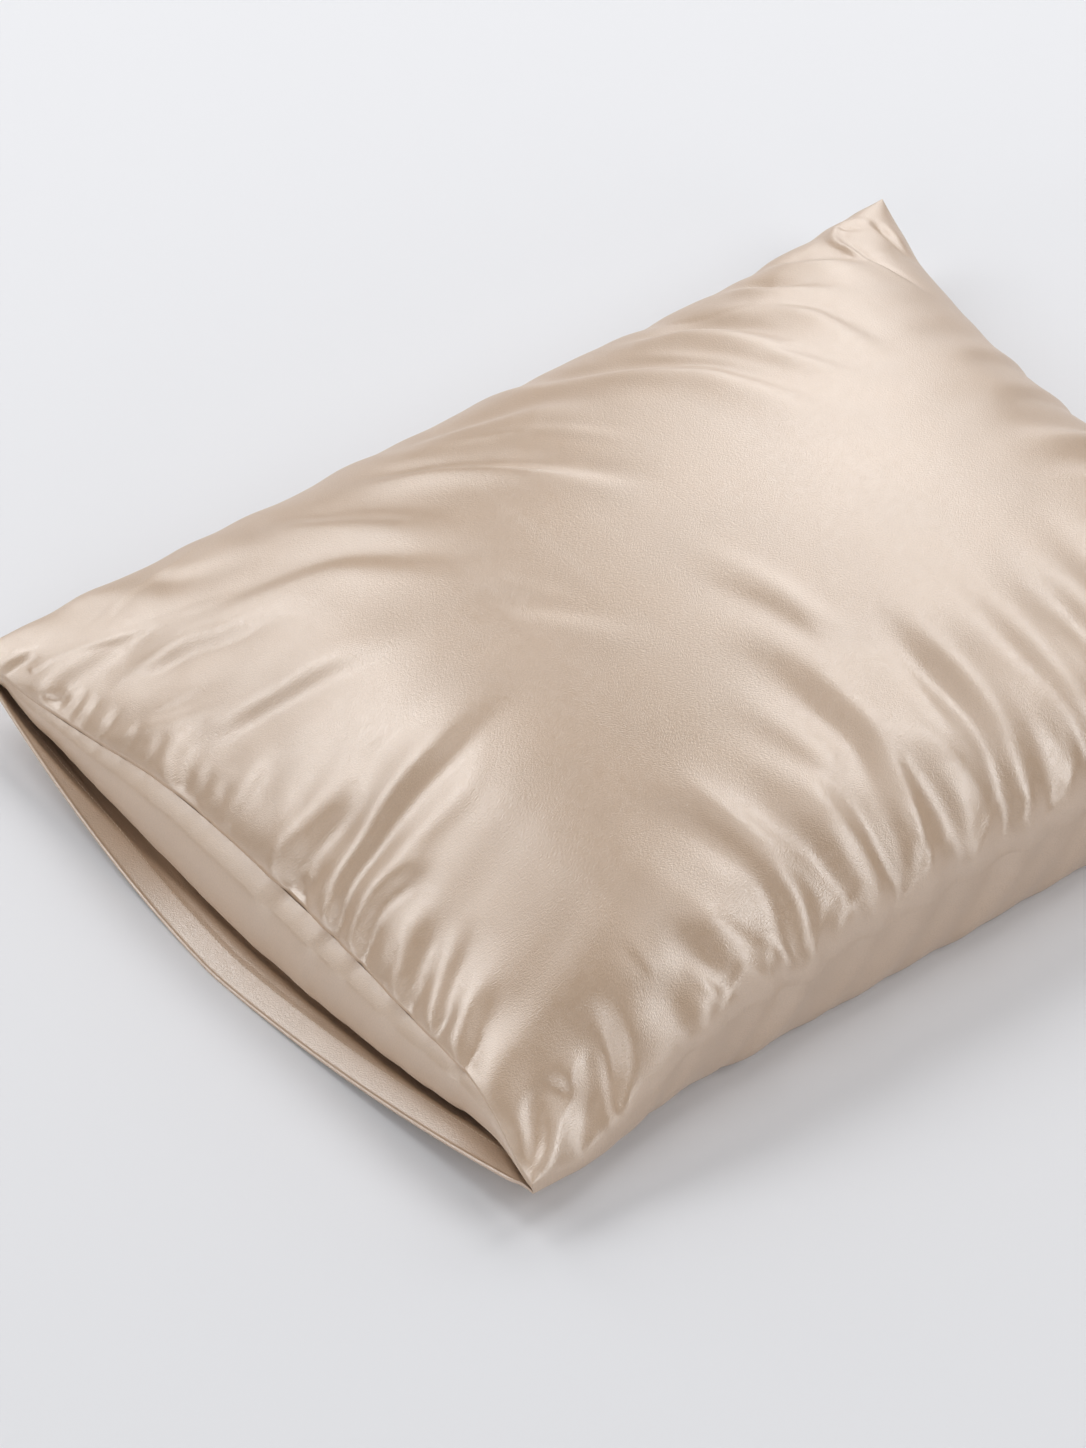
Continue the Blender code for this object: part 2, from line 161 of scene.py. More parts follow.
# Folds of the top. Each runs through places given as (u, v), from the crown out to the seam.
# Width is half the fold's width. Height is how far its line is raised, or pressed in where it is
# negative. Lean is how far it is raised to the left of its line and pressed in to the right.
NEAR_FOLDS = (
    (((0.105, -0.46), (0.09, -0.60), (0.08, -0.72), (0.07, -0.80), (0.055, -0.865), (0.04, -0.92),
      (0.015, -0.985)),
     0.0115, -0.0008, 0.0022),
    (((0.155, -0.70), (0.155, -0.78), (0.145, -0.87), (0.13, -0.94), (0.10, -0.985)),
     0.0085, -0.0005, 0.0009),
    (((0.205, -0.80), (0.185, -0.92), (0.14, -0.985)), 0.0060, 0.0008, 0),
    (((0.05, -0.48), (0.025, -0.665), (0.015, -0.845), (-0.01, -0.945)), 0.0075, 0.0006, 0),
    (((0.03, -0.56), (0.015, -0.68), (-0.005, -0.775), (-0.01, -0.83)), 0.0035, -0.0003, 0.0002),
    (((-0.155, -0.34), (-0.135, -0.45), (-0.13, -0.60), (-0.13, -0.705), (-0.15, -0.785),
      (-0.17, -0.865), (-0.185, -0.93)),
     0.0105, -0.0005, 0.0019),
    (((-0.095, -0.74), (-0.08, -0.845), (-0.08, -0.90), (-0.085, -0.945), (-0.10, -0.99)),
     0.0125, -0.0012, 0.0017),
    (((-0.11, -0.78), (-0.13, -0.86), (-0.14, -0.90), (-0.155, -0.945), (-0.16, -0.995)),
     0.0038, 0.0016, 0),
    (((-0.025, -0.80), (-0.02, -0.925), (-0.035, -0.985)), 0.0050, 0.0007, 0),
    (((-0.215, -0.78), (-0.22, -0.87), (-0.225, -0.915), (-0.23, -0.975)), 0.0078, -0.0006, 0.0013),
    (((-0.18, -0.94), (-0.20, -0.975), (-0.23, -1.0)), 0.0024, 0.0012, 0),
    (((-0.265, -0.50), (-0.24, -0.61), (-0.23, -0.715), (-0.225, -0.80)), 0.0090, 0, 0.0006),
    (((-0.35, -0.68), (-0.335, -0.76), (-0.32, -0.83), (-0.315, -0.885), (-0.305, -0.965)),
     0.0120, -0.0005, 0.0014),
    (((-0.265, -0.72), (-0.262, -0.80), (-0.255, -0.875), (-0.255, -0.94), (-0.255, -0.995)),
     0.0055, 0.0009, 0),
    (((-0.505, -0.52), (-0.49, -0.585), (-0.46, -0.685), (-0.44, -0.775), (-0.43, -0.84),
      (-0.43, -0.90), (-0.445, -0.965)),
     0.0090, -0.0006, 0.0020),
    (((-0.425, -0.55), (-0.41, -0.70), (-0.385, -0.805), (-0.36, -0.885), (-0.34, -0.96)),
     0.0060, 0.0006, 0),
    (((-0.395, -0.90), (-0.405, -0.955), (-0.415, -0.99)), 0.0045, 0.0010, 0),
    (((-0.605, -0.81), (-0.595, -0.86), (-0.58, -0.915), (-0.555, -0.965), (-0.53, -0.995)),
     0.0105, -0.0006, 0.0015),
    (((-0.565, -0.84), (-0.525, -0.915), (-0.50, -0.95), (-0.465, -0.99)), 0.0055, 0.0007, 0),
    (((-0.655, -0.91), (-0.66, -0.96), (-0.665, -1.0)), 0.0115, -0.0010, 0.0012),
    (((-0.62, -0.92), (-0.605, -0.97), (-0.575, -1.0)), 0.0040, 0.0008, 0),
    (((-0.70, -0.80), (-0.695, -0.85), (-0.69, -0.89)), 0.0028, -0.0003, 0.0002),
    (((0.26, -0.46), (0.25, -0.62), (0.235, -0.78), (0.21, -0.94)), 0.0105, -0.0005, 0.0014),
    (((0.40, -0.50), (0.385, -0.68), (0.36, -0.84), (0.33, -0.97)), 0.0110, -0.0006, 0.0018),
    (((0.33, -0.70), (0.31, -0.84), (0.28, -0.98)), 0.0055, 0.0008, 0),
    (((0.54, -0.44), (0.52, -0.62), (0.49, -0.80), (0.45, -0.96)), 0.0100, -0.0005, 0.0015),
    (((0.66, -0.60), (0.64, -0.76), (0.61, -0.93)), 0.0115, -0.0008, 0.0017),
    (((0.60, -0.78), (0.575, -0.88), (0.56, -0.99)), 0.0045, 0.0010, 0),
    (((0.76, -0.66), (0.76, -0.80), (0.755, -0.95)), 0.0090, -0.0006, 0.0010),
)
FAR_FOLDS = (
    (((-0.05, 0.26), (-0.13, 0.42), (-0.21, 0.56), (-0.265, 0.645), (-0.31, 0.71), (-0.37, 0.83)),
     0.0065, 0.0007, 0.0018),
    (((0.055, 0.58), (0.0, 0.68), (-0.08, 0.73), (-0.165, 0.785), (-0.25, 0.87)), 0.0108, 0, 0.0017),
    (((0.02, 0.42), (-0.065, 0.575), (-0.165, 0.69), (-0.24, 0.775)), 0.0060, 0.0008, 0),
    (((0.455, 0.08), (0.415, 0.18), (0.385, 0.28), (0.345, 0.39), (0.305, 0.50), (0.235, 0.605),
      (0.16, 0.695), (0.085, 0.785), (0.01, 0.88)),
     0.0099, 0, 0.0020),
    (((0.44, 0.26), (0.38, 0.41), (0.33, 0.55), (0.265, 0.665), (0.20, 0.78)), 0.0073, 0.0010, 0),
    (((0.49, 0.48), (0.42, 0.655), (0.37, 0.73), (0.30, 0.795), (0.24, 0.87)), 0.0095, -0.0007, 0.0023),
    (((0.55, 0.70), (0.48, 0.745), (0.415, 0.79), (0.34, 0.91)), 0.0026, -0.0008, 0),
    (((0.70, 0.66), (0.66, 0.705), (0.58, 0.80), (0.535, 0.91)), 0.0069, -0.0007, 0.0018),
    (((0.85, 0.72), (0.775, 0.78), (0.715, 0.84), (0.64, 0.96)), 0.0112, -0.0012, 0.0026),
    (((0.64, 0.36), (0.62, 0.50), (0.60, 0.59), (0.515, 0.715)), 0.0069, 0, 0.0010),
    (((0.53, 0.28), (0.485, 0.39), (0.43, 0.50)), 0.0069, 0, 0.0008),
    (((-0.35, 0.45), (-0.42, 0.60), (-0.46, 0.69), (-0.525, 0.86)), 0.0099, 0, 0.0017),
    (((-0.38, 0.24), (-0.475, 0.40), (-0.555, 0.53), (-0.66, 0.59), (-0.76, 0.66)), 0.0082, 0, 0.0012),
    (((-0.32, 0.01), (-0.37, 0.14), (-0.425, 0.25)), 0.0069, 0.0005, 0),
    (((-0.29, -0.11), (-0.395, 0.06), (-0.50, 0.15)), 0.0086, -0.0005, 0.0004),
    (((-0.05, -0.06), (-0.01, -0.20), (0.005, -0.37), (0.03, -0.52)), 0.0073, 0.0005, 0),
    (((-0.08, -0.14), (-0.045, -0.27), (-0.03, -0.49)), 0.0069, 0, 0.0005),
    (((-0.65, 0.89), (-0.785, 0.85), (-0.86, 0.81)), 0.0030, -0.0005, -0.0004),
    (((-0.63, 0.78), (-0.69, 0.85), (-0.72, 0.90)), 0.0086, 0, -0.0008),
)
MOUTH_FOLDS = (
    (((-0.66, 0.455), (-0.765, 0.535), (-0.81, 0.585), (-0.86, 0.615), (-0.91, 0.645), (-0.95, 0.66)),
     0.0095, -0.0006, -0.0020),
    (((-0.80, 0.69), (-0.855, 0.735), (-0.91, 0.748), (-0.955, 0.76), (-0.985, 0.757)),
     0.0130, -0.0012, -0.0015),
    (((-0.975, 0.74), (-0.988, 0.75), (-0.992, 0.77)), 0.0035, -0.0012, 0),
    (((-0.72, 0.66), (-0.79, 0.715), (-0.845, 0.755), (-0.935, 0.835), (-0.97, 0.855)),
     0.0030, 0.0008, 0),
    (((-0.955, 0.885), (-0.985, 0.90), (-0.998, 0.905)), 0.0045, -0.0010, -0.0006),
    (((-0.64, 0.185), (-0.77, 0.25), (-0.835, 0.28), (-0.895, 0.31), (-0.945, 0.345)),
     0.0090, -0.0004, -0.0016),
    (((-0.92, 0.355), (-0.965, 0.34), (-0.99, 0.31)), 0.0110, -0.0018, -0.0006),
    (((-0.87, 0.38), (-0.955, 0.48), (-0.995, 0.555)), 0.0070, 0.0010, 0),
    (((-0.86, 0.44), (-0.92, 0.485), (-0.955, 0.52)), 0.0045, -0.0003, -0.0003),
    (((-0.90, 0.15), (-0.97, 0.13), (-0.995, 0.135)), 0.0055, -0.0003, -0.0005),
    (((-0.83, 0.055), (-0.895, 0.04), (-0.95, 0.022)), 0.0070, 0, -0.0005),
    (((-0.83, -0.105), (-0.89, -0.08), (-0.93, -0.07), (-0.965, -0.065), (-0.99, -0.07)),
     0.0120, -0.0010, -0.0018),
    (((-0.57, -0.14), (-0.70, -0.165), (-0.78, -0.172), (-0.83, -0.18), (-0.885, -0.193),
      (-0.93, -0.202), (-0.98, -0.225)),
     0.0078, -0.0006, -0.0019),
    (((-0.62, -0.19), (-0.73, -0.27), (-0.80, -0.27), (-0.875, -0.255), (-0.945, -0.245),
      (-0.998, -0.225)),
     0.0080, 0.0008, 0),
    (((-0.845, -0.35), (-0.875, -0.315), (-0.915, -0.30), (-0.95, -0.305), (-0.985, -0.322)),
     0.0060, -0.0006, -0.0015),
    (((-0.89, -0.425), (-0.935, -0.45), (-0.965, -0.47), (-0.99, -0.485)), 0.0080, -0.0005, -0.0012),
    (((-0.87, -0.515), (-0.925, -0.55), (-0.95, -0.57), (-0.98, -0.595)), 0.0056, -0.0004, -0.0010),
    (((-0.91, -0.65), (-0.97, -0.69), (-0.995, -0.71)), 0.0068, -0.0006, -0.0012),
    (((-0.978, -0.115), (-0.985, -0.12), (-0.995, -0.13)), 0.0030, -0.0012, 0),
)
CORNER_FOLDS = (
    (((-0.935, -0.85), (-0.97, -0.875), (-0.98, -0.91), (-0.99, -0.95), (-0.998, -0.985)),
     0.0065, 0.0012, 0),
    (((-0.90, -0.83), (-0.92, -0.86), (-0.945, -0.91), (-0.96, -0.94), (-0.985, -0.975)),
     0.0075, -0.0011, 0.0009),
    (((-0.915, -0.885), (-0.915, -0.92), (-0.935, -0.95), (-0.97, -0.985)), 0.0085, 0.0012, 0),
    (((-0.90, -0.865), (-0.89, -0.895), (-0.875, -0.92)), 0.0075, -0.0012, 0.0010),
    (((-0.805, -0.875), (-0.82, -0.925), (-0.835, -0.97), (-0.84, -0.995)), 0.0060, 0.0011, 0),
    (((-0.775, -0.85), (-0.785, -0.90), (-0.80, -0.945), (-0.82, -0.98)), 0.0080, -0.0011, 0.0018),
    (((-0.85, -0.94), (-0.87, -0.975), (-0.90, -0.995)), 0.0065, -0.0009, 0.0009),
    (((0.90, 0.55), (0.885, 0.62), (0.865, 0.70), (0.845, 0.79), (0.825, 0.885)),
     0.0042, -0.0018, 0.0006),
    (((0.94, 0.90), (0.895, 0.955), (0.845, 0.94), (0.82, 0.895), (0.825, 0.82), (0.85, 0.70)),
     0.0044, 0.0019, 0),
    (((0.96, 0.75), (0.95, 0.82), (0.943, 0.88), (0.935, 0.94)), 0.0056, -0.0028, 0),
    (((0.885, 0.90), (0.865, 0.93), (0.86, 0.965)), 0.0034, -0.0012, 0),
    (((0.78, -0.78), (0.82, -0.90), (0.87, -0.99)), 0.0080, -0.0024, 0),
    (((0.88, -0.70), (0.92, -0.82), (0.97, -0.93)), 0.0070, -0.0022, 0),
    (((0.84, -0.76), (0.88, -0.86), (0.94, -0.96)), 0.0050, 0.0014, 0),
    (((0.90, -0.84), (0.93, -0.90), (0.965, -0.965)), 0.0036, 0.0014, 0),
)
CLOSED_FOLDS = (
    (((0.80, 0.20), (0.88, 0.215), (0.95, 0.22), (0.995, 0.22)), 0.0085, -0.0004, 0.0007),
    (((0.76, 0.02), (0.86, 0.04), (0.93, 0.045), (0.99, 0.045)), 0.0090, -0.0004, 0.0010),
    (((0.72, -0.12), (0.84, -0.14), (0.93, -0.145), (0.995, -0.14)), 0.0085, -0.0006, -0.0012),
    (((0.66, -0.28), (0.78, -0.31), (0.89, -0.34), (0.985, -0.36)), 0.0105, -0.0004, -0.0016),
    (((0.84, -0.22), (0.92, -0.235), (0.99, -0.235)), 0.0045, 0.0008, 0),
    (((0.72, -0.46), (0.84, -0.50), (0.93, -0.53), (0.99, -0.545)), 0.0095, -0.0007, -0.0014),
    (((0.80, -0.60), (0.90, -0.66), (0.98, -0.70)), 0.0080, -0.0008, -0.0010),
)

# Small puckers just inside the mouth's seam, by their place along it.
MOUTH_PUCKERS = (0.70, 0.655, 0.585, 0.50, 0.42, 0.255, 0.19, -0.05, -0.085, -0.14, -0.195,
                 -0.24, -0.31, -0.345, -0.42, -0.52, -0.62, -0.72)
PUCKER_PATH = ((-0.955, 0.012), (-0.975, 0.004), (-1.0, 0.0))
PUCKER_SHAPE = (0.0030, -0.0008, -0.0002)

# Thin creases across the near seam, by their place along it and how far each slants to the mouth.
NEAR_CREASES = ((0.42, 0.03), (0.335, 0.05), (0.29, -0.02), (0.215, 0.05), (0.165, 0.02),
                (0.12, 0.06), (0.06, -0.03), (0.025, 0.04), (-0.045, 0.05), (-0.12, 0.02),
                (-0.18, 0.06), (-0.26, -0.02), (-0.33, 0.04), (-0.40, 0.05), (-0.49, 0.02),
                (-0.57, 0.04), (0.52, 0.03), (0.64, 0.04), (0.73, -0.02))
CREASE_PATH = ((-1.0, -0.945), (-0.4, -0.965), (0.3, -0.985), (1.0, -1.0))
CREASE_SHAPE = (0.0030, 0.0005, 0.0002)

# A near fold whose end lies between these two places is carried straight on to the seam.
NEAR_FOLDS_REACH = -0.92
NEAR_SEAM = -0.995

# How a fold is drawn: samples along it, how many widths away it is felt, its flanks' depth, how
# steep its lean is and how far that sweeps out, and the lean's own peak, which scales it to 1.
FOLD_SAMPLES = 60
FOLD_REACH = 4.0
FOLD_FLANK = 0.5
FOLD_STEEP = 1.2
FOLD_SWEEP = 2.5
LEAN_PEAK = 2.33

# Along a fold: how far before its first place it begins, the share over which it opens, the share
# over which it fades where it ends short of the seam, and its width at both ends.
FOLD_BEGINS = 0.7
FOLD_OPENS = 0.55
FOLD_FADES = 0.30
FOLD_ENDS_AT_SEAM = 0.97
FOLD_WIDTHS = (1.35, 0.75)

# What is left of the folds on the seam, at the ends and beside the case, how far inside it they are
# whole again, the same for the broad unevenness, and how softly ends and sides blend.
FOLD_AT_RIM = (0.60, 0.85)
FOLD_RIM = 0.12
LUMPS_RIM = 0.65
RIM_BLEND = 0.1

# Below the seam the folds sweep back along the walls, and fade out with this power of their height.
WALL_SWEEP = 0.12
WALL_FADE = 0.5
TINY = 1e-9

# Shallow ripples across the slopes: length along the seam, shift and height. Then where they start
# and are full, how high they are at the ends, how softly ends and sides blend, and their slants.
RIPPLES = ((0.047, 0.7, 0.00042), (0.031, 2.2, 0.00022), (0.079, 4.0, 0.00060))
RIPPLES_START = 0.45
RIPPLES_FULL = 0.92
RIPPLES_AT_ENDS = 0.5
RIPPLES_BLEND = 0.3
RIPPLES_SLANTS = (0.25, 0.2)

# Broad unevenness of the filling: waves along the case, across it, their shift and height.
LUMPS = ((2.1, 1.3, 0.4, 0.0022), (3.7, 2.9, 1.9, 0.0014), (5.3, 4.1, 3.1, 0.0008))

# Satin: its colour and gloss on each piece. The roughness swings a little either way.
SATIN = (0.485, 0.332, 0.215)
# The back panel's copy is a touch darker than SATIN: painted shade for its lip, which lies in the wall's
# shade.
SHADED_BACK_SATIN = (0.48, 0.328, 0.213)
SATIN_IOR = 2.2
SATIN_GLOSS = 0.80
SATIN_SHEEN = 0.08
SHEEN_ROUGHNESS = 0.5
FRONT_ROUGHNESS = 0.365
FLAP_ROUGHNESS = 0.48
BACK_ROUGHNESS = 0.40
ROUGHNESS_SWING = 0.03

# Its woven and creased grain: the length of its floats, its threads, crepe and slow patches in
# metres, the depth of their relief, and how far each changes the tone.
WARP_FLOAT = 0.0015
WEFT_FLOAT = 0.0011
WARP_SHARE = 0.65
WEFT_SHARE = 0.35
THREAD = 0.0007
THREAD_DEPTH = 0.00020
CREPE = 0.0055
CREPE_DEPTH = 0.00006
GRAIN_STRENGTH = 0.5
PATCH = 0.045
PATCH_TONE = 0.03
GRAIN_TONE = 0.08
NOISE_SPAN = (0.3, 0.7)
FINE_DETAIL = 1.0
BROAD_DETAIL = 2.0

# Sewing thread: its two tones and its twist.
THREAD_DARK = (0.40, 0.29, 0.20, 1.0)
THREAD_PALE = (0.60, 0.47, 0.35, 1.0)
THREAD_SHEEN = 0.1
THREAD_ROUGHNESS = 0.55
TWIST_SCALE = 900.0
TWIST_STRENGTH = 0.4

# Stitches of the lip's hem: how far in from its edge, how thick, how far apart, how much of that
# is thread, and how far they stop from both ends.
STITCH_LINE = 0.0150
STITCH_THICK = 0.0005
STITCH_PITCH = 0.0031
STITCH_SHARE = 0.78
STITCH_ENDS = 0.004

# Grid: its size, how often the back uses a row, and how closely its lines crowd to the seams.
COLUMNS = 280
ROWS = 210
BACK_ROWS = 2
CROWDING = 0.985
MOUTH_END = 0
CLOSED_END = -1

# Faces that lie as level as this, this far in from the mouth, become one. Sharper edges than the
# angle stay sharp.
LEVEL = 0.9999
LEVEL_FROM = 0.04
EDGE_ANGLE = math.radians(65)

# Camera, at the photo's angle. The focal length is for a picture 36 mm high.
CAMERA_AZIMUTH = math.radians(-38.177)
CAMERA_ELEVATION = math.radians(41.848)
CAMERA_DISTANCE = 3.182
CAMERA_TARGET = Vector((-0.110, 0.0036, 0.05))
CAMERA_LENS = 150.02
CAMERA_FILM = 36.0

# Floor.
FLOOR_HALF = 8.0
FLOOR_COLOUR = (0.76, 0.765, 0.79, 1.0)
FLOOR_ROUGHNESS = 0.9
FLOOR_GLOSS = 0.2

# Lamps, all at one distance: turn from +Y towards +X, rise, size and power.
LAMP_DISTANCE = 3.0
WORLD_LIGHT = 0.03
LAMPS = (
    ("mouth_low", 270, 12, 1.3, 12),
    ("mouth_side", 314, 38, 1.4, 16),
    ("mouth_high", 340, 54, 1.3, 17),
    ("front_low", 225, 12, 1.3, 12),
    ("front_side", 240, 30, 1.3, 9),
    ("near_low", 170, 18, 1.3, 10),
    ("near_side", 148, 42, 1.4, 20),
    ("overhead", 190, 78, 1.2, 6),
    ("closed_high", 94, 58, 1.4, 18),
    ("closed_low", 88, 26, 1.3, 6),
    ("closed_side", 50, 42, 1.6, 18),
    ("far_right_low", 45, 14, 1.5, 13),
    ("far_low", 0, 14, 1.3, 7),
    ("far_side", 0, 34, 1.4, 9),
)


def smooth_step(t):
    """Rises from 0 to 1 with level ends."""
    t = np.clip(t, 0.0, 1.0)
    return t * t * (3.0 - 2.0 * t)


def through(places, values, at):
    """Reads a table at any place, on a smooth curve through its rows."""
    slopes = np.gradient(values, places, axis=0)
    index = np.clip(np.searchsorted(places, at) - 1, 0, len(places) - 2)
    width = places[index + 1] - places[index]
    t = (at - places[index]) / width
    if values.ndim > 1:
        t = t[:, None]
        width = width[:, None]
    rise = (1 + 2 * t) * (1 - t) ** 2 * values[index] + t * t * (3 - 2 * t) * values[index + 1]
    lean = t * (1 - t) ** 2 * slopes[index] - t * t * (1 - t) * slopes[index + 1]
    return rise + lean * width


def along_side(side, column, at):
    """One column of a side's table, at any place along that side."""
    rows = np.array(side)
    return through(rows[:, 0], rows[:, SIDE_COLUMNS.index(column)], at)


def crowded(count):
    """Grid lines from -1 to 1, closer together towards both ends."""
    turn = CROWDING * math.pi / 2
    return np.sin(np.linspace(-turn, turn, count + 1)) / math.sin(turn)


def mouth_x(v):
    """Where the mouth's seam lies along the case."""
    return MIDDLE_X - LENGTH / 2 + along_side(MOUTH_SIDE, "drawn_in", v)


def closed_x(v):
    """Where the closed end's seam lies along the case."""
    return MIDDLE_X + LENGTH / 2 - along_side(CLOSED_SIDE, "drawn_in", v)


def plan(u, v):
    """Place in plan: straight lines between the drawn-in sides."""
    near_y = -WIDTH / 2 + along_side(NEAR_SIDE, "drawn_in", u)
    far_y = WIDTH / 2 - along_side(FAR_SIDE, "drawn_in", u)
    x = mouth_x(v) + (closed_x(v) - mouth_x(v)) * (u + 1) / 2
    y = near_y + (far_y - near_y) * (v + 1) / 2
    return x, y


def seam_height(u, v):
    """Height of the seam, carried evenly across the case from its four sides."""
    closed = (1 + u) / 2
    far = (1 + v) / 2
    mouth_side = along_side(MOUTH_SIDE, "height", v)
    closed_side = along_side(CLOSED_SIDE, "height", v)
    near_side = along_side(NEAR_SIDE, "height", u)
    far_side = along_side(FAR_SIDE, "height", u)
    near_corners = (1 - closed) * NEAR_SIDE[0][2] + closed * NEAR_SIDE[-1][2]
    far_corners = (1 - closed) * FAR_SIDE[0][2] + closed * FAR_SIDE[-1][2]
    ends = (1 - closed) * mouth_side + closed * closed_side
    sides = (1 - far) * (near_side - near_corners) + far * (far_side - far_corners)
    return ends + sides


def fullness(u, v):
    """0 at the seams and 1 in the middle, in a round arch both ways."""
    along = np.sqrt(np.clip(1 - np.abs(u) ** CROWN_ROUNDNESS, 0, 1))
    across = np.sqrt(np.clip(1 - np.abs(v) ** CROWN_ROUNDNESS, 0, 1))
    return along * across


def cornerness(u, v):
    """1 at the four corners, where the layers lie on each other instead of inside each other."""
    return smooth_step((np.abs(u * v) - CORNER_STARTS) / (1 - CORNER_STARTS))


def top_surface(u, v):
    """The crowned top of the case, before its folds. It meets the mouth's seam at a slope."""
    x, y = plan(u, v)
    seam = seam_height(u, v)
    slope = MOUTH_SLOPE * smooth_step(-u / MOUTH_SLOPE_ENDS) * (1 - v ** MOUTH_SLOPE_POWER)
    full = fullness(u, v)
    full = (np.sqrt(full ** 2 + slope ** 2) - slope) / (np.sqrt(1 + slope ** 2) - slope)
    return np.stack([x, y, seam + (CROWN - seam) * full], -1)


def under_lift(u, v):
    """1 at the seam and 0 where the case lies on the surface."""
    return (1 - np.minimum(UNDER_FULLNESS * fullness(u, v), 1)) ** UNDER_POWER


def under_height(u, v):
    """Height of the underside, which meets the seam from below."""
    rim = seam_height(u, v) - SEAM_DROP - LAYER * cornerness(u, v)
    return rim * under_lift(u, v)


def under_surface(u, v):
    """The underside: up from the surface to just below the seam, bulging out at the mouth."""
    x, y = plan(u, v)
    fades = 1 - smooth_step((u + 1) / MOUTH_BULGE_LENGTH)
    bulge = MOUTH_BULGE * (1 - v * v) * fades * (1 - under_lift(u, v)) ** MOUTH_BULGE_ROUNDNESS
    points = np.stack([x - bulge, y, under_height(u, v)], -1)
    return points - inward(points, u, v) * (WALL_RELIEF + MOUTH_RELIEF)[..., None]


def inward(points, u, v):
    """Unit normals of a grid of points, up and into the case, and straight up at the corners."""
    along = np.gradient(points, axis=0)
    across = np.gradient(points, axis=1)
    normal = np.cross(along, across)
    normal /= np.linalg.norm(normal, axis=-1, keepdims=True)
    corner = cornerness(u, v)[..., None]
    normal = normal * (1 - corner) + np.array([0.0, 0.0, 1.0]) * corner
    return normal / np.linalg.norm(normal, axis=-1, keepdims=True)


def near_edge(place):
    """1 on a seam and 0 a few millimetres inside it."""
    return smooth_step(1 - (1 - np.abs(place)) / TUCK_FADES)


def flap_depth(u):
    """How far the flap lies inside the underside: tucked in at the mouth seam, then one layer in."""
    return TUCK + (LAYER - TUCK) * smooth_step((u + 1) / FLAP_WALL)


def belly_depth(u):
    """How far the filling lies inside the underside: one layer, or two over the flap."""
    over_flap = 1 - smooth_step((u - FLAP_ENDS) / FLAP_FADES)
    return LAYER + (flap_depth(u) - TUCK) * over_flap


def lip_x(v):
    """Where the lip's free edge lies along the case."""
    return MIDDLE_X - LENGTH / 2 - LIP_REACH * (1 - np.abs(v) ** LIP_POWER)


def lip_height(v):
    """Underside of the lip's free edge: on the surface in the middle, rising to both corners."""
    corner = np.where(v < 0, MOUTH_SIDE[0][2], MOUTH_SIDE[-1][2])
    tip = corner - SEAM_DROP - LAYER - TIP_CLEARANCE
    return tip * np.abs(v) ** LIP_RISE_POWER


def lean_of_lip(u, v, x, z):
    """How far the lip is raised inside its free edge, where it leans on the wall above it."""
    from_edge = 1 + u
    rise = np.minimum(from_edge / LIP_LEANS[0], 1)
    fall = smooth_step((LIP_LEANS[1] - from_edge) / (LIP_LEANS[1] - LIP_LEANS[0]))
    near, far = LIP_LEAN_ENDS
    from_near = smooth_step((v - near[0]) / (near[1] - near[0]))
    ends = from_near * smooth_step((far[1] - v) / (far[1] - far[0]))
    wall = under_surface(u, v)
    wall = wall - inward(wall, u, v) * LIP_OFF_WALL
    roof = np.empty_like(x)
    for row in range(x.shape[1]):
        widest = int(np.argmin(wall[:, row, 0]))
        low = wall[widest:, row]
        roof[:, row] = np.interp(x[:, row], low[:, 0], low[:, 2], left=np.inf)
    raised = np.minimum(z + LIP_LEAN * rise * fall * ends, roof)
    return np.maximum(raised - z, 0)


def back_surface(u, v):
    """The back panel's outer face: under the pillow, up its sides, and out as the lip."""
    x, y = plan(u, v)
    lip = smooth_step((LIP_STARTS - u) / (1 + LIP_STARTS))
    x = x + lip * (lip_x(v) - mouth_x(v))
    held = under_height(np.maximum(u, LIP_STARTS), v)
    z = held + lip * (lip_height(v) - held)
    clears = smooth_step((LIP_CLEARS[0] - u) / (LIP_CLEARS[0] - LIP_CLEARS[1]))
    sewn = smooth_step((np.abs(v) - LIP_SEWN_FROM) / (1 - LIP_SEWN_FROM))
    gap = LIP_CLEARANCE * clears * (1 - sewn) + TIP_CLEARANCE * cornerness(u, v) * sewn
    roof = under_height(u, v) - gap
    z = np.where(lip > 0, np.maximum(np.minimum(z, roof), 0.0), z)
    z = np.where(lip > 0, z + sewn * (roof - z), z)
    z = z + lean_of_lip(u, v, x, z)
    points = np.stack([x, y, z], -1)
    points[..., 0] -= TUCK * near_edge(u) * (u > 0)
    points[..., 1] -= TUCK * near_edge(v) * np.sign(v)
    points = points - inward(points, u, v) * (WALL_RELIEF * (1 - lip))[..., None]
    points[..., 2] = np.maximum(points[..., 2], 0.0)
    return points


